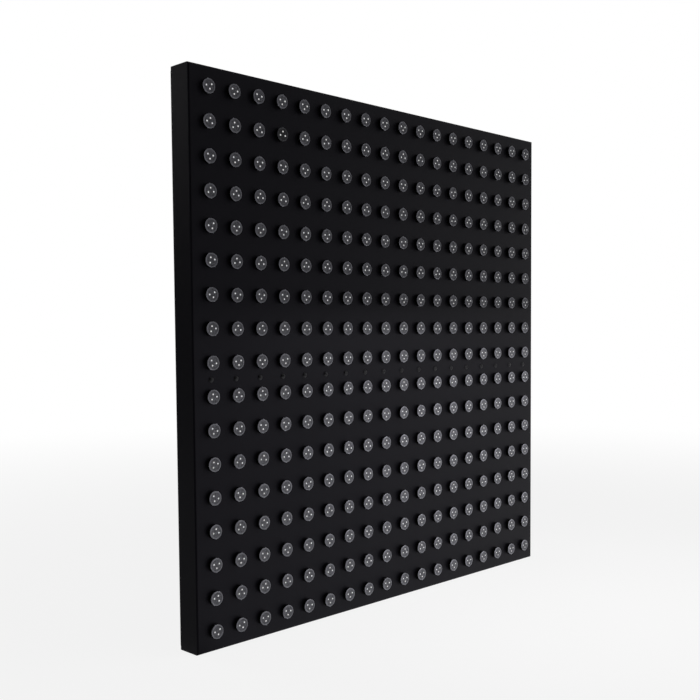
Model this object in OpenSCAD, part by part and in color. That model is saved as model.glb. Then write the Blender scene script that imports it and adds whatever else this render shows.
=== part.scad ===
// Square indoor or outdoor LED dot matrix panel: a folded black sheet tray, punched with a grid of
// holes, that carries one three-LED pixel module in each hole. A hat rail stiffens the middle of the
// tray, and a flat cover with a gasket closes the back.
//
// Frame: +X right, +Z up, the pixels face -Y. The origin is the centre of the rear mounting pattern,
// on the outer face of the rear cover. Millimetres.

/* [Panel] */
// Width of the panel
panel_w = 1000; // [940:5:1150]
// Height of the panel
panel_h = 1000; // [970:5:1150]
// Depth from the front face to the back of the rear cover
panel_d = 53; // [46:0.5:64]
// Thickness of the tray's sheet
sheet_t = 1.5; // [1:0.1:2]
// Outside radius of the tray's bends
bend_r = 3; // [2.4:0.1:4]
// Width of the inward flange at the back of the tray
flange_w = 20; // [18:0.5:22]
// Width of the open seam across each corner of the flange
seam_gap = 0.8; // [0.4:0.1:1.5]
// Diameter of the drain holes in the bottom return
drain_d = 5; // [3:0.5:8]
// Distance between the two drain holes
drain_spacing = 700; // [300:10:860]

/* [Pixel grid] */
// Number of pixel columns
columns = 18; // [12:1:18]
// Number of pixel rows
rows = 17; // [13:1:17]
// Distance from the panel's side to the nearest column
edge_x = 37.6; // [36:0.1:45]
// Distance from the panel's top or bottom to the nearest row
edge_z = 35.2; // [32:0.1:40]
// Row that the mid rail lies just below
rail_below_row = 9; // [5:1:9]

/* [Pixel module] */
// Diameter of the head that stands in front of the sheet
head_d = 24.8; // [24:0.1:27]
// Height of the lens rim above the sheet
head_h = 8; // [7.5:0.1:11]
// Wall of the head's cup
cup_wall = 1.4; // [1:0.1:1.8]
// Diameter of the neck that passes through the sheet
neck_d = 20.4; // [19.6:0.1:21.5]
// Length of the neck behind the sheet
neck_len = 7; // [6.5:0.1:9]
// Clearance around the neck in its hole, on the radius
neck_play = 0.2; // [0.1:0.05:0.4]
// How far each snap finger stands out past the neck
finger_out = 1.1; // [0.6:0.1:1.4]
// Length of a snap finger
finger_len = 4; // [3:0.1:5]
// Arc that one snap finger covers, in degrees
finger_arc = 44; // [30:1:60]
// Gap between a snap finger and the sheet
finger_play = 0.25; // [0.1:0.05:0.4]
// Diameter of the potted tail
tail_d = 18; // [16:0.5:19]
// Length of the module behind the sheet
tail_len = 24; // [22:0.5:27]

/* [Lens and LEDs] */
// Diameter of the lens
lens_d = 24.4; // [23.4:0.1:25.2]
// Thickness of the lens plate inside the rim
lens_t = 1.4; // [1:0.1:2]
// Width of the raised rim
rim_w = 1.9; // [1.2:0.1:2.6]
// Height of the rim above the plate
rim_rise = 0.5; // [0.3:0.05:0.8]
// Depth of the spigot that seats in the cup
spigot_depth = 1.6; // [1:0.1:2]
// Clearance round the spigot, on the radius
spigot_play = 0.1; // [0.05:0.05:0.2]
// Radius of the snap lugs on the lens edge
lug_r = 1; // [0.7:0.1:1.3]
// How far the snap lugs stand out of the lens edge
lug_out = 0.7; // [0.3:0.1:0.9]
// Diameter of one LED
led_d = 3; // [2.6:0.1:3.4]
// Height of one LED above its board
led_h = 5.3; // [5:0.1:5.6]
// Radius of the LED's domed tip
led_dome_r = 2.4; // [2.2:0.1:2.6]
// How far an LED's tip stands above the lens plate
led_proud = 0.7; // [0.4:0.05:1]
// Distance between the two lower LEDs
led_base = 11.3; // [9:0.1:12]
// Height of the upper LED above the lower two
led_rise = 7; // [6:0.1:8.5]
// Height of the upper LED above the middle of the lens
led_top = 5; // [4.4:0.1:5.6]
// Clearance round an LED in its port, on the radius
port_play = 0.15; // [0.1:0.05:0.25]
// Thickness of the module's round board
disc_board_t = 1.2; // [0.8:0.1:1.6]
// Clearance round the module's board, on the radius
disc_board_play = 0.3; // [0.15:0.05:0.5]

/* [Module turn] */
// Largest turn of a module in its hole, away from the sides, in degrees
turn_middle = 9; // [0:1:20]
// Extra turn in the first columns, in degrees
turn_first = 24; // [0:1:30]
// Columns over which the extra turn fades
turn_fade = 1.6; // [1:0.1:4]

/* [Mid rail] */
// Width of the rail's web
rail_w = 30; // [28:0.5:31]
// Thickness of the rail's sheet
rail_t = 1.5; // [1:0.1:2]
// Width of each lip at the back of the rail
rail_lip = 13; // [12:0.5:14]
// Gap between the rail's end and the flange
rail_end_gap = 1; // [0.5:0.1:4]

/* [Rear cover] */
// Thickness of the rear cover
cover_t = 1.2; // [1:0.1:1.6]
// Distance from the panel's edge to the cover's edge
cover_inset = 2.5; // [2:0.1:4]
// Radius of the cover's corners
cover_corner_r = 5; // [3:0.5:8]
// Thickness of the gasket
gasket_t = 1; // [0.8:0.1:1.5]
// Width of the gasket
gasket_w = 13; // [12:0.5:14]
// Distance from the panel's edge to the gasket
gasket_inset = 5; // [4:0.5:5.5]
// Width of a stiffening bead
bead_w = 16; // [10:1:22]
// Depth of a stiffening bead
bead_depth = 1; // [0.6:0.1:1.4]
// Distance between the two columns of beads
bead_spacing = 300; // [220:10:340]
// Gap from a bead's end to the rail or the flange
bead_end_gap = 28; // [15:1:60]

/* [Small screws] */
// Diameter of the screws
screw_d = 4; // [3.5:0.1:4]
// Diameter of the screw head
screw_head_d = 10; // [8:0.1:10.6]
// Height of the screw head
screw_head_h = 2.8; // [2.2:0.1:3.1]
// Radius of the screw head's dome
screw_dome_r = 6.5; // [5.5:0.1:9]
// Length of the cross recess
recess_len = 4.4; // [3.6:0.1:5]
// Width of the cross recess
recess_w = 0.9; // [0.7:0.05:1.2]
// Depth of the cross recess
recess_depth = 1.4; // [1:0.1:1.8]
// Length of the screw behind its nut
screw_tip = 1; // [0.5:0.1:2]
// Clearance round a screw in a sheet, on the radius
screw_play = 0.25; // [0.15:0.05:0.4]
// Clearance that stands for the thread, on the radius
thread_play = 0.05; // [0.02:0.01:0.1]
// Width of the small nuts across their flats
nut_af = 7; // [6.6:0.1:7.4]
// Height of the small nuts
nut_h = 3.2; // [2.4:0.1:3.6]
// Distance from the panel's edge to the line of cover screws
cover_screw_edge = 11.5; // [11:0.1:12]
// Number of screw steps along each side of the cover
cover_screw_steps = 5; // [3:1:8]
// Number of cover screws along each lip of the rail
lip_screws = 4; // [2:1:6]
// Distance between the outermost cover screws on a lip
lip_screw_span = 840; // [700:10:860]

/* [Wall mounting] */
// Distance between the mounting holes, side to side
mount_w = 600; // [500:10:700]
// Distance between the mounting holes, top to bottom
mount_h = 600; // [500:10:700]
// Diameter of the mounting holes
mount_hole_d = 9; // [8.5:0.1:10]
// Side of each square doubler plate
plate_w = 50; // [40:1:70]
// Thickness of each doubler plate
plate_t = 3; // [2:0.1:4]
// Thread diameter of the mounting nuts
mount_thread_d = 8; // [7:0.5:8]
// Width of the mounting nuts across their flats
mount_nut_af = 13; // [12.5:0.1:15]
// Height of the mounting nuts
mount_nut_h = 6.5; // [5:0.1:7]

/* [Cable glands] */
// Distance between the two glands
gland_spacing = 70; // [50:1:90]
// Thread diameter of a gland
gland_thread_d = 16; // [14:0.5:16]
// Diameter of the passage through a gland
gland_passage_d = 11; // [10:0.1:11.5]
// Diameter of the cable that the seal takes
gland_cable_d = 8; // [6:0.1:9]
// Width of the gland across its flats
gland_af = 20; // [19:0.1:22]
// Height of the gland's hexagon
gland_hex_h = 5; // [4:0.1:7]
// Height of the gland's cap
gland_cap_h = 13; // [11:0.1:16]
// Wall of the gland's cap
gland_cap_wall = 1.8; // [1.5:0.1:2.2]
// Thickness of the end of the gland's cap
gland_cap_end = 3; // [2.6:0.1:4]
// Radius of the dome on the gland's cap
gland_dome_r = 22; // [20:1:30]
// Length of the seal in the cap
gland_seal_len = 8; // [6:0.1:9]
// Width of the gland's locknut across its flats
gland_nut_af = 19; // [18.5:0.1:20]
// Height of the gland's locknut
gland_nut_h = 4; // [3:0.1:5]
// Length of the gland's thread past its locknut
gland_tip = 2; // [1:0.1:4]
// Clearance round a gland in the cover, on the radius
gland_play = 0.2; // [0.1:0.05:0.4]

/* [Control board] */
// Length of the control board
board_l = 130; // [110:1:200]
// Width of the control board
board_w = 18; // [16:0.5:20]
// Thickness of the control board
board_t = 1.6; // [1.2:0.1:2]
// Height of the standoffs
standoff_h = 8; // [7.5:0.1:9]
// Width of the standoffs across their flats
standoff_af = 5.5; // [5:0.1:6]
// Diameter of the board's screws
board_screw_d = 3; // [2.5:0.1:3]
// Distance from the board's end to its screws
board_screw_edge = 26; // [24:1:30]
// Length of a terminal block
terminal_l = 18; // [14:1:20]
// Width of a terminal block
terminal_w = 12; // [11:0.5:14]
// Height of a terminal block
terminal_h = 14; // [13:0.1:15]

/* [Wiring] */
// Diameter of a lead between two modules
lead_d = 4; // [3:0.1:4.4]
// Slope of a lead where it leaves a module, in degrees
lead_slope = 12; // [6:1:24]
// How deep the flats that the leads leave from are cut into the tail
lead_flat_depth = 0.6; // [0.5:0.05:0.8]
// Distance from the tail's end to the leads
lead_from_end = 6; // [5:0.1:8]
// Diameter of the loom along each side
loom_d = 8; // [6:0.5:9]
// Gap between the loom and the side wall
loom_gap = 0.3; // [0.2:0.05:0.5]
// Diameter of the feed from the control board to a loom
feed_d = 6; // [5:0.1:7]

/* [Hidden] */
$fn = 48;
cut = 1; // how far a cutting shape runs past what it cuts

front_y = -panel_d;
cover_in_y = -cover_t; // inner face of the rear cover
tray_d = panel_d - cover_t - gasket_t; // the tray alone, front face to back of its flange

pitch_x = (panel_w - 2 * edge_x) / (columns - 1);
pitch_z = (panel_h - 2 * edge_z) / (rows - 1);
rail_z = row_z(rail_below_row) - pitch_z / 2;
rail_l = panel_w - 2 * (flange_w + rail_end_gap);

head_r = head_d / 2;
neck_r = neck_d / 2;
tail_r = tail_d / 2;
lens_r = lens_d / 2;
led_r = led_d / 2;
led_points = [[0, led_top], [-led_base / 2, led_top - led_rise], [led_base / 2, led_top - led_rise]];
cup_in_r = head_r - cup_wall;
plate_top = head_h - rim_rise; // heights on a module are measured from the sheet's front face
cup_h = plate_top - lens_t;
disc_board_top = plate_top + led_proud - led_h;
cup_floor = disc_board_top - disc_board_t;
tail_end = sheet_t + tail_len;
lead_h = lead_from_end - tail_end;
flat_x = (tail_r - lead_flat_depth) * cos(lead_slope); // where a lead leaves its module
flat_drop = (tail_r - lead_flat_depth) * sin(lead_slope);

loom_x = panel_w / 2 - sheet_t - loom_gap - loom_d / 2;
rail_floor = -(sheet_t + rail_t); // inside face of the rail's web
board_foot = rail_floor - standoff_h;
board_top = board_foot - board_t;

gland_cap_r = gland_af / 2 / cos(30);
gland_seal_from = gland_hex_h + gland_cap_h - gland_cap_end - gland_seal_len;
gland_seal_r = gland_af / 2 - gland_cap_wall;

screw_line_x = panel_w / 2 - cover_screw_edge;
screw_line_z = panel_h / 2 - cover_screw_edge;
lip_z = rail_w / 2 - rail_t + rail_lip / 2;
lip_step = lip_screw_span / (lip_screws - 1);

rim_screw_points = concat(
    [for (i = [0:cover_screw_steps], s = [-1, 1])
        [screw_line_x * (2 * i / cover_screw_steps - 1), s * screw_line_z]],
    [for (i = [1:cover_screw_steps - 1], s = [-1, 1])
        [s * screw_line_x, screw_line_z * (2 * i / cover_screw_steps - 1)]]);
lip_screw_points = [for (i = [0:lip_screws - 1], s = [-1, 1])
    [i * lip_step - lip_screw_span / 2, rail_z + s * lip_z]];
mount_points = [for (sx = [-1, 1], sz = [-1, 1]) [sx * mount_w / 2, sz * mount_h / 2]];
standoff_points = [for (s = [-1, 1]) s * (board_l / 2 - board_screw_edge)];

inner_nodes = ["mid_rail", "rail_nuts", "cover_gasket", "cover_nuts", "mount_plates", "mount_nuts",
    "control_board", "board_chips", "board_terminals", "board_standoffs", "board_screws",
    "wiring_looms", "link_leads", "module_boards"];
outer_nodes = ["front_tray", "front_screws", "rear_cover", "cover_screws", "gland_bodies",
    "gland_caps", "gland_seals", "gland_nuts", "leds_red", "leds_green", "leds_blue"];

function row_name(prefix, r) = str(prefix, r < 10 ? "0" : "", r);
function column_x(c) = (c - (columns + 1) / 2) * pitch_x;
function row_z(r) = ((rows + 1) / 2 - r) * pitch_z;

// A repeatable scatter between -1 and 1 for each place in the grid
function scatter(c, r) = 2 * fraction(sin(c * 78.233 + r * 129.898) * 437.585) - 1;
function fraction(v) = v - floor(v);

// The strings run back and forth, so each second row is upside down
function module_turn(c, r) =
    (r % 2 == 1 ? 180 : 0) + scatter(c, r) * (turn_middle + turn_first * exp((1 - c) / turn_fade));

// Puts a shape made with +Z outwards onto the front face
module on_front(x, z) {
    translate([x, front_y, z]) rotate([90, 0, 0]) children();
}

// Puts a shape made with +Z outwards onto the outer face of the rear cover
module on_back(x, z) {
    translate([x, 0, z]) rotate([-90, 0, 0]) children();
}

module on_row(r) {
    for (c = [1:columns]) on_front(column_x(c), row_z(r)) children();
}

module on_turned_row(r) {
    for (c = [1:columns])
        on_front(column_x(c), row_z(r)) rotate([0, 0, module_turn(c, r)]) children();
}

// What a bend of radius r takes off a square edge that runs along X
module bend_waste(len, r) {
    difference() {
        translate([-len / 2, -r - cut, 0]) cube([len, r + cut, r + cut]);
        rotate([0, 90, 0]) cylinder(r = r, h = len + cut, center = true);
    }
}

// A block with all its front and back edges rounded, as a folded tray's outside or inside is
module folded_block(w, d, h, r) {
    difference() {
        translate([-w / 2, 0, -h / 2]) cube([w, d, h]);
        for (side = [[0, w, h], [90, h, w], [180, w, h], [270, h, w]])
            rotate([0, side[0], 0]) {
                translate([0, r, side[2] / 2 - r]) bend_waste(side[1] + cut, r);
                translate([0, d - r, side[2] / 2 - r]) mirror([0, 1, 0])
                    bend_waste(side[1] + cut, r);
            }
    }
}

// A flat rectangle with round corners, in the XY plane
module round_rectangle(w, h, r) {
    square([w - 2 * r, h], center = true);
    square([w, h - 2 * r], center = true);
    for (sx = [-1, 1], sy = [-1, 1])
        translate([sx * (w / 2 - r), sy * (h / 2 - r)]) circle(r);
}

// The straight slot shape of a bead, from one height to another
module bead_outline(from, to, w) {
    translate([-w / 2, from + w / 2]) square([w, to - from - w]);
    for (z = [from + w / 2, to - w / 2]) translate([0, z]) circle(w / 2);
}

// ---- Sheet metal

module front_tray() {
    color("#1b1b1f") difference() {
        translate([0, front_y, 0]) folded_block(panel_w, tray_d, panel_h, bend_r);
        translate([0, front_y + sheet_t, 0])
            folded_block(panel_w - 2 * sheet_t, tray_d - 2 * sheet_t, panel_h - 2 * sheet_t,
                bend_r - sheet_t);
        flange_opening();
        flange_seams();
        for (r = [1:rows]) on_row(r)
            translate([0, 0, -sheet_t - cut])
                cylinder(r = neck_r + neck_play, h = sheet_t + 2 * cut);
        for (c = [1:columns]) on_front(column_x(c), rail_z) sheet_screw_hole(sheet_t);
        for (p = rim_screw_points) on_back(p[0], p[1])
            translate([0, 0, -cover_t - gasket_t]) sheet_screw_hole(sheet_t);
        for (s = [-1, 1])
            translate([s * drain_spacing / 2, front_y + tray_d / 2, -panel_h / 2 - cut])
                cylinder(d = drain_d, h = sheet_t + 2 * cut);
    }
}

module flange_opening() {
    translate([flange_w - panel_w / 2, front_y + tray_d - sheet_t - cut, flange_w - panel_h / 2])
        cube([panel_w - 2 * flange_w, sheet_t + 2 * cut, panel_h - 2 * flange_w]);
}

// The four flanges are folded one by one, so an open seam crosses each corner
module flange_seams() {
    run = (flange_w - bend_r) * sqrt(2);
    for (sx = [-1, 1], sz = [-1, 1])
        translate([sx * (panel_w / 2 - bend_r), front_y + tray_d - sheet_t / 2,
                sz * (panel_h / 2 - bend_r)])
            rotate([0, sx * sz > 0 ? 45 : -45, 0])
                translate([-seam_gap / 2, -sheet_t / 2 - cut, sz > 0 ? -run - cut : 0])
                    cube([seam_gap, sheet_t + 2 * cut, run + cut]);
}

module sheet_screw_hole(depth) {
    translate([0, 0, -depth - cut])
        cylinder(r = screw_d / 2 + screw_play, h = depth + 2 * cut);
}

module mid_rail() {
    rail_d = panel_d - cover_t - sheet_t;
    color("#2a2a2d") difference() {
        translate([0, 0, rail_z]) rotate([90, 0, 90])
            linear_extrude(height = rail_l, center = true)
                translate([front_y + sheet_t, 0]) rail_section(rail_d);
        for (c = [1:columns]) on_front(column_x(c), rail_z)
            translate([0, 0, -sheet_t]) sheet_screw_hole(rail_t);
        for (p = lip_screw_points) on_back(p[0], p[1])
            translate([0, 0, -cover_t]) sheet_screw_hole(rail_t);
    }
}

// Hat section: the web lies on the front sheet and the lips on the rear cover
module rail_section(d) {
    reach = rail_w / 2 - rail_t + rail_lip;
    translate([0, -rail_w / 2]) square([rail_t, rail_w]);
    for (s = [0, 1]) mirror([0, s]) {
        translate([0, rail_w / 2 - rail_t]) square([d, rail_t]);
        translate([d - rail_t, rail_w / 2 - rail_t]) square([rail_t, reach - rail_w / 2 + rail_t]);
    }
}

module rear_cover() {
    bead_top = panel_h / 2 - flange_w - bead_end_gap;
    rail_edge = rail_w / 2 - rail_t + rail_lip + bead_end_gap;
    spans = [[rail_z + rail_edge, bead_top], [-bead_top, rail_z - rail_edge]];
    color("#1b1b1f") difference() {
        union() {
            on_back(0, 0) translate([0, 0, -cover_t]) linear_extrude(height = cover_t)
                round_rectangle(panel_w - 2 * cover_inset, panel_h - 2 * cover_inset,
                    cover_corner_r);
            for (s = [-1, 1], span = spans)
                translate([s * bead_spacing / 2, -cover_t, 0]) rotate([90, 0, 0])
                    linear_extrude(height = bead_depth)
                        bead_outline(span[0] - cover_t, span[1] + cover_t, bead_w + 2 * cover_t);
        }
        for (s = [-1, 1], span = spans)
            translate([s * bead_spacing / 2, cut, 0]) rotate([90, 0, 0])
                linear_extrude(height = bead_depth + cut)
                    bead_outline(span[0], span[1], bead_w);
        for (p = concat(rim_screw_points, lip_screw_points))
            on_back(p[0], p[1]) sheet_screw_hole(cover_t);
        for (p = mount_points) on_back(p[0], p[1]) mount_hole(cover_t);
        on_glands() translate([0, 0, -cover_t - cut])
            cylinder(r = gland_thread_d / 2 + gland_play, h = cover_t + 2 * cut);
    }
}

module cover_gasket() {
    w = panel_w - 2 * gasket_inset;
    h = panel_h - 2 * gasket_inset;
    color("#2b2b2b") difference() {
        translate([-w / 2, -cover_t - gasket_t, -h / 2]) cube([w, gasket_t, h]);
        translate([gasket_w - w / 2, -cover_t - gasket_t - cut, gasket_w - h / 2])
            cube([w - 2 * gasket_w, gasket_t + 2 * cut, h - 2 * gasket_w]);
        for (p = rim_screw_points) on_back(p[0], p[1])
            translate([0, 0, -cover_t]) sheet_screw_hole(gasket_t);
    }
}

// ---- Fasteners

// Machine screw with a broad truss head, seated at height 0
module truss_screw(len) {
    difference() {
        union() {
            intersection() {
                cylinder(d = screw_head_d, h = screw_head_h);
                translate([0, 0, screw_head_h - screw_dome_r]) sphere(screw_dome_r);
            }
            translate([0, 0, -len]) cylinder(d = screw_d, h = len + screw_head_h / 2);
        }
        for (a = [0, 90]) rotate([0, 0, a])
            translate([-recess_len / 2, -recess_w / 2, screw_head_h - recess_depth])
                cube([recess_len, recess_w, recess_depth + cut]);
    }
}

// Hexagonal nut, from height 0 downwards
module hex_nut(af, h, bore_d) {
    translate([0, 0, -h]) difference() {
        cylinder(r = af / 2 / cos(30), h = h, $fn = 6);
        translate([0, 0, -cut]) cylinder(d = bore_d, h = h + 2 * cut);
    }
}

module small_nut() {
    hex_nut(nut_af, nut_h, screw_d + 2 * thread_play);
}

module front_screws() {
    color("#202024") for (c = [1:columns]) on_front(column_x(c), rail_z)
        rotate([0, 0, 90 * scatter(c, rows)])
            truss_screw(sheet_t + rail_t + nut_h + screw_tip);
}

module rail_nuts() {
    color("#8d8f92") for (c = [1:columns]) on_front(column_x(c), rail_z)
        translate([0, 0, rail_floor]) small_nut();
}

module cover_screws() {
    color("#202024") {
        for (p = rim_screw_points) on_back(p[0], p[1])
            truss_screw(cover_t + gasket_t + sheet_t + nut_h + screw_tip);
        for (p = lip_screw_points) on_back(p[0], p[1])
            truss_screw(cover_t + rail_t + nut_h + screw_tip);
    }
}

module cover_nuts() {
    color("#8d8f92") {
        for (p = rim_screw_points) on_back(p[0], p[1])
            translate([0, 0, -cover_t - gasket_t - sheet_t]) small_nut();
        for (p = lip_screw_points) on_back(p[0], p[1])
            translate([0, 0, -cover_t - rail_t]) small_nut();
    }
}

// ---- Wall mounting

module mount_hole(depth) {
    translate([0, 0, -depth - cut]) cylinder(d = mount_hole_d, h = depth + 2 * cut);
}

module mount_plates() {
    color("#8d8f92") for (p = mount_points) on_back(p[0], p[1])
        translate([0, 0, -cover_t]) difference() {
            translate([-plate_w / 2, -plate_w / 2, -plate_t]) cube([plate_w, plate_w, plate_t]);
            mount_hole(plate_t);
        }
}

module mount_nuts() {
    color("#8d8f92") for (p = mount_points) on_back(p[0], p[1])
        translate([0, 0, -cover_t - plate_t])
            hex_nut(mount_nut_af, mount_nut_h, mount_thread_d);
}

// ---- Cable glands

module on_glands() {
    for (s = [-1, 1]) on_back(s * gland_spacing / 2, rail_z) children();
}

module gland_bodies() {
    shank = cover_t + gland_nut_h + gland_tip;
    neck_top = gland_seal_from;
    color("#26262a") on_glands() difference() {
        union() {
            cylinder(r = gland_cap_r, h = gland_hex_h, $fn = 6);
            translate([0, 0, -shank]) cylinder(d = gland_thread_d, h = shank + cut);
            translate([0, 0, gland_hex_h - cut])
                cylinder(r = gland_seal_r, h = neck_top - gland_hex_h + cut);
        }
        translate([0, 0, -shank - cut])
            cylinder(d = gland_passage_d, h = shank + neck_top + 2 * cut);
    }
}

// A hexagonal cap with a domed end, hollow for the seal
module gland_caps() {
    top = gland_hex_h + gland_cap_h;
    color("#26262a") on_glands() difference() {
        intersection() {
            translate([0, 0, gland_hex_h]) cylinder(r = gland_cap_r, h = gland_cap_h, $fn = 6);
            translate([0, 0, top - gland_dome_r]) sphere(gland_dome_r);
        }
        translate([0, 0, gland_hex_h - cut])
            cylinder(r = gland_seal_r + thread_play, h = gland_cap_h - gland_cap_end + cut);
        cylinder(d = gland_passage_d, h = top + cut);
    }
}

module gland_seals() {
    color("#111112") on_glands() translate([0, 0, gland_seal_from]) difference() {
        cylinder(r = gland_seal_r, h = gland_seal_len);
        translate([0, 0, -cut]) cylinder(d = gland_cable_d, h = gland_seal_len + 2 * cut);
    }
}

module gland_nuts() {
    color("#26262a") on_glands() translate([0, 0, -cover_t])
        hex_nut(gland_nut_af, gland_nut_h, gland_thread_d + 2 * thread_play);
}

// ---- Pixel modules

// The moulded body: a cup in front of the sheet, a neck through it, and a potted tail
module pixel_body() {
    neck_end = -sheet_t - neck_len;
    difference() {
        rotate_extrude() polygon([
            [0, -tail_end], [tail_r, -tail_end], [tail_r, neck_end], [neck_r, neck_end],
            [neck_r, 0], [head_r, 0], [head_r, cup_h], [cup_in_r, cup_h],
            [cup_in_r, cup_floor], [0, cup_floor]]);
        for (s = [0, 1]) mirror([s, 0, 0]) lead_flat_waste();
    }
    for (a = [90, 270]) rotate([0, 0, a - finger_arc / 2]) snap_finger();
}

module snap_finger() {
    top = -sheet_t - finger_play;
    root = neck_r - cup_wall;
    rotate_extrude(angle = finger_arc) polygon([
        [root, top], [neck_r + finger_out, top], [neck_r, top - finger_len],
        [root, top - finger_len]]);
}

// What the flat for the right-hand lead takes off the tail, square to the lead's slope
module lead_flat_waste() {
    rotate([0, 0, -lead_slope]) translate([tail_r - lead_flat_depth, -tail_r, -tail_end - cut])
        cube([tail_r, 2 * tail_r, lead_from_end + lead_d + cut]);
}

module pixel_bodies_row(r) {
    color("#151517") on_row(r) pixel_body();
}

module module_boards() {
    color("#20242a") for (r = [1:rows]) on_row(r) translate([0, 0, cup_floor])
        cylinder(r = cup_in_r - disc_board_play, h = disc_board_t);
}

// The round lens snaps into the cup, and three ports let the LED tips through
module lens() {
    spigot_r = cup_in_r - spigot_play;
    rim_in = lens_r - rim_w;
    bevel = rim_rise / 2;
    difference() {
        union() {
            rotate_extrude() polygon([
                [0, cup_h - spigot_depth], [spigot_r, cup_h - spigot_depth],
                [spigot_r, cup_h], [lens_r, cup_h], [lens_r, head_h - bevel],
                [lens_r - bevel, head_h], [rim_in, head_h], [rim_in - bevel, plate_top],
                [0, plate_top]]);
            for (a = [90, 270]) rotate([0, 0, a])
                translate([lens_r + lug_out - lug_r, 0, cup_h])
                    cylinder(r = lug_r, h = head_h - cup_h - bevel);
        }
        for (p = led_points) translate([p[0], p[1], cup_h - spigot_depth - cut])
            cylinder(r = led_r + port_play, h = lens_t + spigot_depth + 2 * cut);
    }
}

module lenses_row(r) {
    color("#8c8c90") on_turned_row(r) lens();
}

// Round LED with a domed tip
module led() {
    rotate_extrude() {
        square([led_r, led_h - led_dome_r]);
        intersection() {
            square([led_r, led_h]);
            translate([0, led_h - led_dome_r]) circle(led_dome_r);
        }
    }
}

module leds(i, shade) {
    color(shade) for (r = [1:rows]) on_turned_row(r)
        translate([led_points[i][0], led_points[i][1], disc_board_top]) led();
}

module leds_red() { leds(0, "#f2e9e8"); }
module leds_green() { leds(1, "#eaf2ea"); }
module leds_blue() { leds(2, "#e8ebf4"); }

// ---- Wiring

// The leads hang in a shallow arc from module to module
module link_leads() {
    span = pitch_x - 2 * flat_x;
    arc_r = span / 2 / sin(lead_slope);
    color("#1a1a1a") for (r = [1:rows], c = [1:columns - 1])
        on_front(column_x(c) + pitch_x / 2, row_z(r) - flat_drop + arc_r * cos(lead_slope))
            translate([0, 0, lead_h]) rotate([0, 0, -90 - lead_slope])
                rotate_extrude(angle = 2 * lead_slope) translate([arc_r, 0]) circle(d = lead_d);
}

// One loom up each side wall, with a branch to each row and a feed to the control board
module wiring_looms() {
    edge_flat = column_x(columns) + flat_x;
    branch = (loom_x - edge_flat) / cos(lead_slope);
    drop = flat_drop + (loom_x - edge_flat) * tan(lead_slope);
    low = row_z(rows) - drop - loom_d / 2;
    high = row_z(1) - drop + loom_d / 2;
    feed_from = board_l / 2;
    color("#1a1a1a") for (s = [0, 1]) mirror([s, 0, 0]) {
        on_front(loom_x, low) translate([0, 0, lead_h]) rotate([-90, 0, 0])
            cylinder(d = loom_d, h = high - low);
        for (r = [1:rows]) on_front(edge_flat, row_z(r) - flat_drop)
            translate([0, 0, lead_h]) rotate([0, 90, -lead_slope])
                cylinder(d = lead_d, h = branch);
        on_front(feed_from, rail_z) translate([0, 0, lead_h]) rotate([0, 90, 0])
            cylinder(d = feed_d, h = loom_x - feed_from);
    }
}

// ---- Control board, inside the rail

module on_rail(x) {
    on_front(x, rail_z) children();
}

module control_board() {
    color("#1d4a2c") difference() {
        on_rail(0) translate([-board_l / 2, -board_w / 2, board_top])
            cube([board_l, board_w, board_t]);
        for (x = standoff_points) on_rail(x) translate([0, 0, board_top - cut])
            cylinder(r = board_screw_d / 2 + screw_play, h = board_t + 2 * cut);
    }
}

module board_standoffs() {
    color("#b59a4d") for (x = standoff_points) on_rail(x) translate([0, 0, rail_floor])
        hex_nut(standoff_af, standoff_h, board_screw_d + 2 * thread_play);
}

module board_screws() {
    head_h = 2;
    grip = board_t + standoff_h / 2;
    color("#8d8f92") for (x = standoff_points) on_rail(x) translate([0, 0, board_top]) {
        translate([0, 0, -head_h]) cylinder(d = 2 * board_screw_d - 0.5, h = head_h);
        translate([0, 0, -cut]) cylinder(d = board_screw_d, h = grip + cut);
    }
}

// One block at each end of the board takes the feed of one loom
module board_terminals() {
    slot_w = 2.4;
    color("#2f6b3a") for (s = [0, 1]) on_rail(0) mirror([s, 0, 0])
        translate([board_l / 2 - terminal_l, -terminal_w / 2, board_top - terminal_h])
            difference() {
                cube([terminal_l, terminal_w, terminal_h]);
                for (i = [1, 2, 3]) translate([i * terminal_l / 4, terminal_w / 2, -cut])
                    cylinder(d = slot_w, h = 4 + cut);
            }
}

module board_chips() {
    chip = 10;
    chip_h = 1.2;
    cap_d = 6.3;
    cap_h = 7.7;
    color("#1c1c1e") on_rail(0) {
        for (x = [-chip, chip]) translate([x - chip / 2, -chip / 2, board_top - chip_h])
            cube([chip, chip, chip_h]);
        for (x = [-2.6 * chip, 2.6 * chip]) translate([x, 0, board_top - cap_h])
            cylinder(d = cap_d, h = cap_h);
    }
}

front_tray();
front_screws();
rear_cover();
cover_screws();
gland_bodies();
gland_caps();
gland_seals();
gland_nuts();
leds_red();
leds_green();
leds_blue();
mid_rail();
rail_nuts();
cover_gasket();
cover_nuts();
mount_plates();
mount_nuts();
control_board();
board_chips();
board_terminals();
board_standoffs();
board_screws();
wiring_looms();
link_leads();
module_boards();
for (r = [1:rows]) {
    pixel_bodies_row(r);
    lenses_row(r);
}
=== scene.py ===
# %% [markdown]
# # An LED dot matrix panel, dressed
# The real thing is a square box of folded black sheet, about a metre across, with 306 round LED
# modules standing out of its front in 18 columns and 17 rows. Each module is a black moulded cup with
# a smoky frosted lens on it, and the tips of three small LEDs come through the lens.
#
# The solids are loaded as they are, in metres. X runs across the panel, Z is up, and the modules
# face -Y. This script gives each of them its finish, then adds the floor, the light and the camera.

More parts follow.
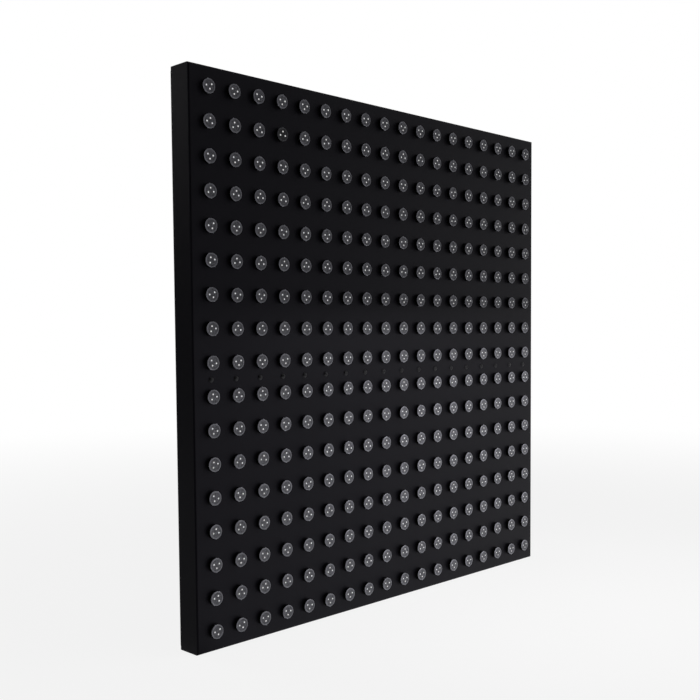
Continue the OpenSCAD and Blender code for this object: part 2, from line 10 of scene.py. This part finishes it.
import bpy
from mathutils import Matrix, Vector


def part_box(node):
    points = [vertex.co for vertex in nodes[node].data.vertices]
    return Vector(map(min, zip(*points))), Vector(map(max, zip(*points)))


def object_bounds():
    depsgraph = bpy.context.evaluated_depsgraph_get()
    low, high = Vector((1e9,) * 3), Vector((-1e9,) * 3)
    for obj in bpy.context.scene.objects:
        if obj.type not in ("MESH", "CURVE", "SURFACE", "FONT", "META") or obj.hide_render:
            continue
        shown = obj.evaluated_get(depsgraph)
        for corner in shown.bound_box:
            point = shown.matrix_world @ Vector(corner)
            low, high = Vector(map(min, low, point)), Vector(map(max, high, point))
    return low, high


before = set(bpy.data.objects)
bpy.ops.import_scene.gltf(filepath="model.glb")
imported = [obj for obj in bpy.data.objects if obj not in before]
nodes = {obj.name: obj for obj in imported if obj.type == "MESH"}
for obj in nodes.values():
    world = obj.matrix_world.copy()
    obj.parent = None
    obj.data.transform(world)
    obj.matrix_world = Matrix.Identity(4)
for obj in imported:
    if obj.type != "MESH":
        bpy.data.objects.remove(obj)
solid_box = [list(corner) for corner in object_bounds()]
print(len(nodes), "nodes between", solid_box)

# %% The other modules that the lesson uses
import math

import bmesh
import bpy
from mathutils import Euler

# %% [markdown]
# ## Where the modules stand
# Several finishes change from module to module, so they must know the grid. It could be typed in
# again, but then two files would hold it. The moulded bodies already stand in the right places, so
# their boxes give the two pitches, whatever size the panel is built at.

# %% Measure the grid
COLUMNS = 18
ROWS = 17
MIDDLE_ROW = (ROWS + 1) // 2


def middle_z(node):
    low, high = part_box(node)
    return (low.z + high.z) / 2


first_low, first_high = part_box("pixel_bodies_row_01")
HEAD_D = first_high.z - first_low.z
PITCH_X = (first_high.x - first_low.x - HEAD_D) / (COLUMNS - 1)
PITCH_Z = (middle_z("pixel_bodies_row_01") - middle_z(f"pixel_bodies_row_{ROWS:02d}")) / (ROWS - 1)
print(f"heads {HEAD_D * 1000:.1f} mm, every {PITCH_X * 1000:.1f} by {PITCH_Z * 1000:.1f} mm")

# %% [markdown]
# ## Shader maths in plain Python
# A finish is a tree of nodes. Linking Math nodes by hand hides what the sum is, so `Value` wraps one
# socket and lets a sum be written as a sum. `Finish` holds a material and makes every other node.

# %% A socket that can stand in a sum
class Value:
    """One socket of a finish. A sum of these adds its own Math nodes."""

    def __init__(self, finish, socket):
        self.finish = finish
        self.socket = socket

    def math(self, operation, *others):
        return self.finish.sum_of(operation, self, *others)

    def __add__(self, other):
        return self.math("ADD", other)

    def __sub__(self, other):
        return self.math("SUBTRACT", other)

    def __rsub__(self, other):
        return self.finish.sum_of("SUBTRACT", other, self)

    def __mul__(self, other):
        return self.math("MULTIPLY", other)

    def __truediv__(self, other):
        return self.math("DIVIDE", other)

    __radd__ = __add__
    __rmul__ = __mul__

    def ramp(self, start, end):
        """0 up to start, 1 from end on, and smooth between them. The start may be the larger."""
        limits = {"From Min": start, "From Max": end}
        return self.finish.node(
            "ShaderNodeMapRange", {"interpolation_type": "SMOOTHSTEP"}, {"Value": self, **limits})


# %% A material with one method for its nodes
class Finish:
    """One material, with its Principled shader and the piece's own coordinates."""

    def __init__(self, name, **fixed):
        self.material = bpy.data.materials.new(name)
        self.material.use_nodes = True
        self.tree = self.material.node_tree
        self.shader = self.tree.nodes["Principled BSDF"]
        self.place = self.node("ShaderNodeTexCoord", out="Object")
        for socket, value in fixed.items():
            self.shader.inputs[socket.replace("_", " ")].default_value = value

    def node(self, kind, settings=None, inputs=None, out=0):
        made = self.tree.nodes.new(kind)
        for name, value in (settings or {}).items():
            setattr(made, name, value)
        for name, value in (inputs or {}).items():
            self.feed(made.inputs[name], value)
        return made if out is None else Value(self, made.outputs[out])

    def feed(self, socket, value):
        if isinstance(value, Value):
            self.tree.links.new(value.socket, socket)
        else:
            socket.default_value = value

    def sum_of(self, operation, *terms):
        return self.node("ShaderNodeMath", {"operation": operation}, dict(enumerate(terms)))

    def split(self, vector):
        parts = self.node("ShaderNodeSeparateXYZ", inputs={0: vector}).socket.node
        return [Value(self, part) for part in parts.outputs]

    def blend(self, factor, here, there):
        """The colour here where the factor is 0, and the colour there where it is 1."""
        return self.node("ShaderNodeMix", {"data_type": "RGBA"}, {0: factor, 6: here, 7: there}, out=2)

    def speckle(self, size, detail=2.0, roughness=0.5):
        """Noise from 0 to 1 whose blots are about that many metres across."""
        looks = {"Scale": 1 / size, "Detail": detail, "Roughness": roughness}
        return self.node("ShaderNodeTexNoise", inputs={"Vector": self.place, **looks})

    def relief(self, height, depth, under=None):
        """A bump of that depth in metres, over another if one is given."""
        inputs = {"Height": height, "Distance": depth}
        if under:
            inputs["Normal"] = under
        return self.node("ShaderNodeBump", inputs=inputs)

    def give(self, **sockets):
        for socket, value in sockets.items():
            self.feed(self.shader.inputs[socket.replace("_", " ")], value)


def grey(level, tint=(1.0, 1.0, 1.0)):
    """A colour from one level and a slight tint."""
    return (*(level * part for part in tint), 1.0)


undressed = set(nodes)


def dress(finish, *names):
    """Puts a finish into every material slot of the nodes whose names start like this."""
    dressed = [n for n in nodes if n.startswith(names)]
    undressed.difference_update(dressed)
    for name in dressed:
        for slot in nodes[name].material_slots:
            slot.material = finish.material
    print(finish.material.name, "on", len(dressed), "nodes")


# %% [markdown]
# ## Powder coat on the sheet metal
# Both halves of the box are sprayed with black powder and baked. The powder melts into a satin skin
# with a shallow orange peel, a little glossier in some places than in others, and dust settles on
# whatever faces up. The peel is only about a tenth of a millimetre deep, so it is a bump and not
# geometry. Two sizes of noise make it: a broad swell and a fine grain.

# %% Powder coat
COOL = (0.98, 0.98, 1.1)
BLUE_BLACK = (1.0, 0.97, 1.3)

powder = Finish("black_powder_coat", Specular_IOR_Level=0.13, Specular_Tint=(0.84, 0.8, 1.0, 1.0))
cloud = powder.speckle(0.09, detail=3.0)
peel = powder.speckle(0.0022)
grain = powder.speckle(0.0006)
facing = powder.split(powder.node("ShaderNodeNewGeometry", out="Normal"))
dust = facing[2].ramp(0.6, 0.95) * powder.speckle(0.02, detail=5.0).ramp(0.3, 0.8)

coat = powder.blend(cloud, grey(0.0036, BLUE_BLACK), grey(0.005, BLUE_BLACK))
powder.give(
    Base_Color=powder.blend(dust * 0.35, coat, grey(0.09, (1.0, 0.97, 0.92))),
    Roughness=0.38 + cloud * 0.1 + grain * 0.06 + dust * 0.2,
    Normal=powder.relief(grain, 0.00003, powder.relief(peel, 0.00012)),
)
dress(powder, "front_tray", "rear_cover")

# %% [markdown]
# ## Moulded module bodies
# The cups are injection moulded in black nylon against a spark-eroded tool, which leaves a fine,
# even matt texture. They are slightly browner and rougher than the coated sheet behind them.

# %% Moulded black nylon
nylon = Finish("black_nylon", Specular_IOR_Level=0.08)
texture = nylon.speckle(0.0004, detail=1.0)
flow = nylon.speckle(0.012)
nylon.give(
    Base_Color=nylon.blend(flow, grey(0.002), grey(0.0035, (1.0, 0.98, 0.96))),
    Roughness=0.42 + texture * 0.12,
    Normal=nylon.relief(texture, 0.00002),
)
dress(nylon, "pixel_bodies_row", "gland_bodies", "gland_caps", "gland_nuts")

# %% [markdown]
# ## Smoky lenses
# The lenses are a dark smoky plastic with a frosted face, so the grey light that they scatter shows
# and not the board behind. Their raised rims are smoother, and paler with a painted highlight that is
# palest at the very edge. No two lenses are quite alike, so each face is a shade lighter or darker.
# One, the fourth in the second row, is much darker than its neighbours, as a replaced one might be.
#
# The pattern needs the distance to the middle of each lens. The pitches give it: the column and row
# that a point belongs to, and from them how far it is across and up from that module's middle.

# %% A point's own module
def module_of(finish):
    """The column and row of a point's module, and the distance in metres from that module's axis."""
    x, _, z = finish.split(finish.place)
    column = (x / PITCH_X + COLUMNS / 2).math("FLOOR")
    row = MIDDLE_ROW - 1 - (z / PITCH_Z).math("ROUND")
    across = x - (column + (0.5 - COLUMNS / 2)) * PITCH_X
    up = z - (MIDDLE_ROW - 1 - row) * PITCH_Z
    return column, row, (across * across + up * up).math("SQRT")


def shade_of(finish, column, row):
    """A number from 0 to 1 that is the same all over one module."""
    number = finish.node("ShaderNodeCombineXYZ", inputs={0: column, 1: row, 2: 0.5})
    return finish.node("ShaderNodeTexWhiteNoise", {"noise_dimensions": "3D"}, {"Vector": number})


# %% Frosted smoky lens
CHANGED_COLUMN = 3
CHANGED_ROW = 1
RIM_IN = 0.0102
LENS_EDGE = 0.0121

smoke = Finish("smoky_lens", Specular_IOR_Level=0.3)
column, row, radius = module_of(smoke)
shade = shade_of(smoke, column, row)
changed = column.math("COMPARE", CHANGED_COLUMN, 0.5) * row.math("COMPARE", CHANGED_ROW, 0.5)
rim = radius.ramp(RIM_IN - 0.0002, RIM_IN + 0.0002)
painted_edge_highlight = radius.ramp(LENS_EDGE - 0.0003, LENS_EDGE)
frost = smoke.speckle(0.0011, detail=3.0, roughness=0.6)
cloud = smoke.speckle(0.0032, detail=2.0, roughness=0.6)

face = smoke.blend((frost * 0.4 + cloud * 0.6).ramp(0.38, 0.62), grey(0.12, COOL), grey(0.3, COOL))
face = smoke.blend(shade * 0.25, face, grey(0.16, COOL))
face = smoke.blend(changed * 0.9, face, grey(0.012, COOL))
# The rim's pale colour, palest at the very edge, is a painted highlight.
rim_with_painted_highlight = smoke.blend(painted_edge_highlight, grey(0.4, COOL), grey(0.75, COOL))
rim_with_painted_highlight = smoke.blend(changed * 0.75, rim_with_painted_highlight, grey(0.02, COOL))
smoke.give(
    Base_Color=smoke.blend(rim, face, rim_with_painted_highlight),
    Roughness=0.5 - rim * 0.25 + frost * 0.12,
    Normal=smoke.relief(frost * (1 - rim), 0.00006),
)
dress(smoke, "lenses_row")

# %% [markdown]
# ## LED tips
# Each LED is a 3 mm lamp cast in milky epoxy. Its dome is brightest at the tip and greyer down the
# side, which is partly the chip and its reflector cup showing at the tip and partly a painted
# highlight. The tip always faces the front of the panel, so the surface's own direction says how near
# the tip a point is, on all 918 of them at once.
#
# No chip or cup is modelled. The tip glows a little in their place, a painted glint for the light that
# they would throw back, although the LED isn't lit. In a dark room `GLINT` should be 0.

# %% Milky epoxy
GLINT = 0.6


def led_epoxy(name, tint):
    """Epoxy for one of the three lamps in a module."""
    epoxy = Finish(name, Specular_IOR_Level=0.5, Emission_Strength=1.0)
    _, toward_back, _ = epoxy.split(epoxy.node("ShaderNodeNewGeometry", out="Normal"))
    tip_and_painted_glint = (-1 * toward_back).ramp(0.6, 0.97)
    cast = epoxy.speckle(0.0009)
    epoxy.give(
        # Paler tip: partly chip and cup, partly a painted highlight. The tip's emission is a painted
        # glint.
        Base_Color=epoxy.blend(tip_and_painted_glint, grey(0.34, tint), grey(0.82, tint)),
        Emission_Color=epoxy.blend(tip_and_painted_glint, grey(0.0), grey(GLINT, tint)),
        Roughness=0.16 + cast * 0.1,
        Normal=epoxy.relief(cast, 0.00001),
    )
    return epoxy


dress(led_epoxy("red_led_epoxy", (1.0, 0.985, 0.98)), "leds_red")
dress(led_epoxy("green_led_epoxy", (0.985, 1.0, 0.985)), "leds_green")
dress(led_epoxy("blue_led_epoxy", (0.98, 0.985, 1.0)), "leds_blue")

# %% [markdown]
# ## Metal parts
# The front and cover screws are steel under black zinc: a metal skin, dark but with a hard glint. The
# rail, nuts and plates inside are plain bright zinc with its cloudy, slightly blue bloom, and so are
# the two board screws. The two standoffs are turned brass.

# %% Black zinc, bright zinc and brass
black_zinc = Finish("black_zinc", Metallic=0.75)
bloom = black_zinc.speckle(0.0012, detail=3.0)
black_zinc.give(
    Base_Color=black_zinc.blend(bloom, grey(0.018), grey(0.04, COOL)),
    Roughness=0.24 + bloom * 0.16,
    Normal=black_zinc.relief(bloom, 0.00001),
)
dress(black_zinc, "front_screws", "cover_screws")

bright_zinc = Finish("bright_zinc", Metallic=1.0)
bloom = bright_zinc.speckle(0.004, detail=4.0)
bright_zinc.give(
    Base_Color=bright_zinc.blend(bloom, grey(0.42, COOL), grey(0.62)),
    Roughness=0.28 + bloom * 0.2,
    Normal=bright_zinc.relief(bloom, 0.00001),
)
dress(bright_zinc, "mid_rail", "rail_nuts", "cover_nuts", "mount_plates", "mount_nuts", "board_screws")

brass = Finish("turned_brass", Metallic=1.0)
lathe_marks = brass.speckle(0.0006, detail=4.0)
brass.give(
    Base_Color=brass.blend(lathe_marks, (0.5, 0.33, 0.11, 1), (0.72, 0.52, 0.2, 1)),
    Roughness=0.22 + lathe_marks * 0.16,
    Normal=brass.relief(lathe_marks, 0.00001),
)
dress(brass, "board_standoffs")

# %% [markdown]
# ## Rubber and cable sheath
# The cover's gasket and the gland seals are black rubber, dull and slightly chalky. The leads and
# looms are sheathed in PVC, which is smoother and a little shinier.

# %% Rubber and cable sheath
rubber = Finish("black_rubber", Specular_IOR_Level=0.3)
chalk = rubber.speckle(0.003, detail=5.0)
rubber.give(
    Base_Color=rubber.blend(chalk, grey(0.008), grey(0.02, (1.0, 0.98, 0.95))),
    Roughness=0.7 + chalk * 0.2,
    Normal=rubber.relief(chalk, 0.00005),
)
dress(rubber, "cover_gasket", "gland_seals")

sheath = Finish("cable_sheath", Specular_IOR_Level=0.45)
draw_marks = sheath.speckle(0.0015)
sheath.give(
    Base_Color=sheath.blend(draw_marks, grey(0.009), grey(0.015)),
    Roughness=0.36 + draw_marks * 0.12,
    Normal=sheath.relief(draw_marks, 0.00002),
)
dress(sheath, "wiring_looms", "link_leads")

# %% [markdown]
# ## Boards, chips and terminals
# Circuit boards are glass cloth under a coloured varnish, so a fine square weave shows through. The
# chips and capacitors are matt black. The terminal blocks are green polyamide.

# %% Varnished boards
def board_varnish(name, dark, light):
    """Solder varnish over glass cloth: two crossed waves of bands make the weave."""
    varnish = Finish(name, Specular_IOR_Level=0.5)
    bands = {"Vector": varnish.place, "Scale": 400.0}
    warp, weft = (varnish.node("ShaderNodeTexWave", {"bands_direction": axis}, bands) for axis in "XZ")
    cloth = warp * 0.5 + weft * 0.5
    pool = varnish.speckle(0.01)
    varnish.give(
        Base_Color=varnish.blend(cloth * 0.4 + pool * 0.6, dark, light),
        Roughness=0.22 + pool * 0.1,
        Normal=varnish.relief(cloth, 0.00001),
    )
    return varnish


dress(board_varnish("green_varnish", (0.006, 0.06, 0.022, 1), (0.012, 0.1, 0.035, 1)), "control_board")
dress(board_varnish("black_varnish", grey(0.012), grey(0.024)), "module_boards")

# %% Chip resin and terminal polyamide
resin = Finish("chip_resin", Specular_IOR_Level=0.35)
filler = resin.speckle(0.0005)
resin.give(
    Base_Color=resin.blend(filler, grey(0.014), grey(0.026)),
    Roughness=0.55 + filler * 0.15,
    Normal=resin.relief(filler, 0.00002),
)
dress(resin, "board_chips")

polyamide = Finish("green_polyamide", Specular_IOR_Level=0.45)
tool_mark = polyamide.speckle(0.0008)
polyamide.give(
    Base_Color=polyamide.blend(tool_mark, (0.01, 0.13, 0.05, 1), (0.015, 0.17, 0.065, 1)),
    Roughness=0.4 + tool_mark * 0.12,
    Normal=polyamide.relief(tool_mark, 0.00001),
)
dress(polyamide, "board_terminals")

# %% Check that nothing was left plain
print("nodes without a finish:", sorted(undressed))

# %% [markdown]
# ## Floor and room
# The panel stands on its bottom edge on a wide pale floor. The background should be white without
# pouring more light on a black object, so what the camera sees of the floor is mostly a white glow,
# and only part of it takes light and shadow. In mirrored rays the floor is white too, but dim to the
# left of the panel. The room is bright towards the right in them and nearly black elsewhere, and that
# is what gives black sheet its shape.

# %% Pale floor
NEAR_GLOW = 0.86
LEFT_GLOW = 0.12


def ray_kinds(finish):
    """Whether a ray comes from the camera, and whether it was last mirrored or let through."""
    paths = finish.node("ShaderNodeLightPath").socket.node.outputs
    glossy = Value(finish, paths["Is Glossy Ray"])
    through = Value(finish, paths["Is Transmission Ray"])
    return Value(finish, paths["Is Camera Ray"]), glossy.math("MAXIMUM", through)


def set_floor(height, reach):
    """A wide round floor, made by bmesh and kept out of the object."""
    sheet = bmesh.new()
    bmesh.ops.create_circle(sheet, cap_ends=True, segments=96, radius=reach)
    bmesh.ops.translate(sheet, verts=sheet.verts, vec=(0, 0, height))
    mesh = bpy.data.meshes.new("floor")
    sheet.to_mesh(mesh)
    sheet.free()
    floor = bpy.data.objects.new("floor", mesh)
    bpy.context.scene.collection.objects.link(floor)
    return floor


pale = Finish("pale_floor", Roughness=0.9, Specular_IOR_Level=0.2)
mottle = pale.speckle(0.4)
pale.give(Base_Color=pale.blend(mottle, grey(0.86), grey(0.9)))
seen, mirrored = ray_kinds(pale)
x, y, _ = pale.split(pale.place)
far = (x * x + y * y).math("SQRT").ramp(0.8, 4.0)
to_camera = NEAR_GLOW + far * (1 - NEAR_GLOW)
to_mirrors = LEFT_GLOW + x.ramp(-0.55, -0.4) * (1 - LEFT_GLOW)
whiteness = seen * to_camera + mirrored * to_mirrors
glow = pale.node("ShaderNodeEmission", inputs={"Color": grey(1.0), "Strength": 1.0})
lit = Value(pale, pale.shader.outputs[0])
both = pale.node("ShaderNodeMixShader", inputs={0: whiteness, 1: lit, 2: glow})
pale.tree.links.new(both.socket, pale.tree.nodes["Material Output"].inputs["Surface"])

floor = set_floor(solid_box[0][2], reach=30.0)
floor.data.materials.append(pale.material)
print("floor at", round(solid_box[0][2], 4))

# %% Room light
FILL = 0.05


class Room(Finish):
    """The world's nodes, made the same way as a finish."""

    def __init__(self, name):
        self.world = bpy.data.worlds.new(name)
        self.world.use_nodes = True
        self.tree = self.world.node_tree
        self.tree.nodes.clear()
        self.place = self.node("ShaderNodeTexCoord", out="Generated")

    def light(self, level):
        return self.node("ShaderNodeBackground", inputs={"Color": grey(1.0), "Strength": level})


studio = Room("studio")
seen, mirrored = ray_kinds(studio)
rightward = studio.split(studio.place)[0]
lamps_only = studio.light(FILL)
sweep = studio.light(0.02 + rightward.ramp(0.45, 0.95) * 0.8)
white = studio.light(1.0)
room = studio.node("ShaderNodeMixShader", inputs={0: mirrored, 1: lamps_only, 2: sweep})
room = studio.node("ShaderNodeMixShader", inputs={0: seen, 1: room, 2: white})
studio.node("ShaderNodeOutputWorld", inputs={"Surface": room}, out=None)
bpy.context.scene.world = studio.world

# %% [markdown]
# ## Lamps
# Three large soft lamps light the panel: a weak key above the camera's right, one at the left for the
# side face, and a stronger one behind. Two small ones hang low in front and face the floor, which
# throws their light up at the lower modules. The camera sees none of them.

# %% Soft lamps
def soft_lamp(name, power, size, place, aim):
    """A square softbox of that power in watts, at a place, turned to face a point."""
    lamp = bpy.data.lights.new(name, "AREA")
    lamp.energy = power
    lamp.size = size
    stand = bpy.data.objects.new(name, lamp)
    bpy.context.scene.collection.objects.link(stand)
    stand.location = place
    stand.visible_camera = False
    across, along, up = (b - a for a, b in zip(place, aim))
    stand.rotation_euler = (math.atan2(math.hypot(across, along), -up), 0, -math.atan2(across, along))
    return stand


soft_lamp("key", 5, 1.6, (0.4, -1.8, 2.0), (0.2, 0, -0.1))
soft_lamp("side", 5, 1.4, (-2.4, 0.6, 1.0), (-0.5, 0.03, 0))
soft_lamp("back", 12, 1.4, (-0.6, 2.4, 1.4), (0, 0, 0))
soft_lamp("floor_left", 1.5, 0.5, (0.1, -0.5, 0.1), (0.1, -0.5, -0.5))
soft_lamp("floor_right", 1.1, 0.5, (0.55, -0.5, 0.1), (0.55, -0.5, -0.5))

# %% [markdown]
# ## Camera
# The panel is seen from its left at about 45 degrees, from just above its middle, with a lens about
# as long as a normal one. The small shift keeps its upright edges nearly upright.

# %% Camera
lens = bpy.data.cameras.new("camera")
lens.lens = 49.803
lens.shift_y = 0.0515
camera = bpy.data.objects.new("camera", lens)
bpy.context.scene.collection.objects.link(camera)
front_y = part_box("front_tray")[0].y
camera.location = (-1.4724, front_y - 1.3302, 0.0509)
camera.rotation_euler = Euler([math.radians(a) for a in (86.805, 0.439, -45.4)])
bpy.context.scene.camera = camera
bpy.context.scene.view_settings.view_transform = "Standard"

# %% Print the solids' box
print("solids", solid_box)
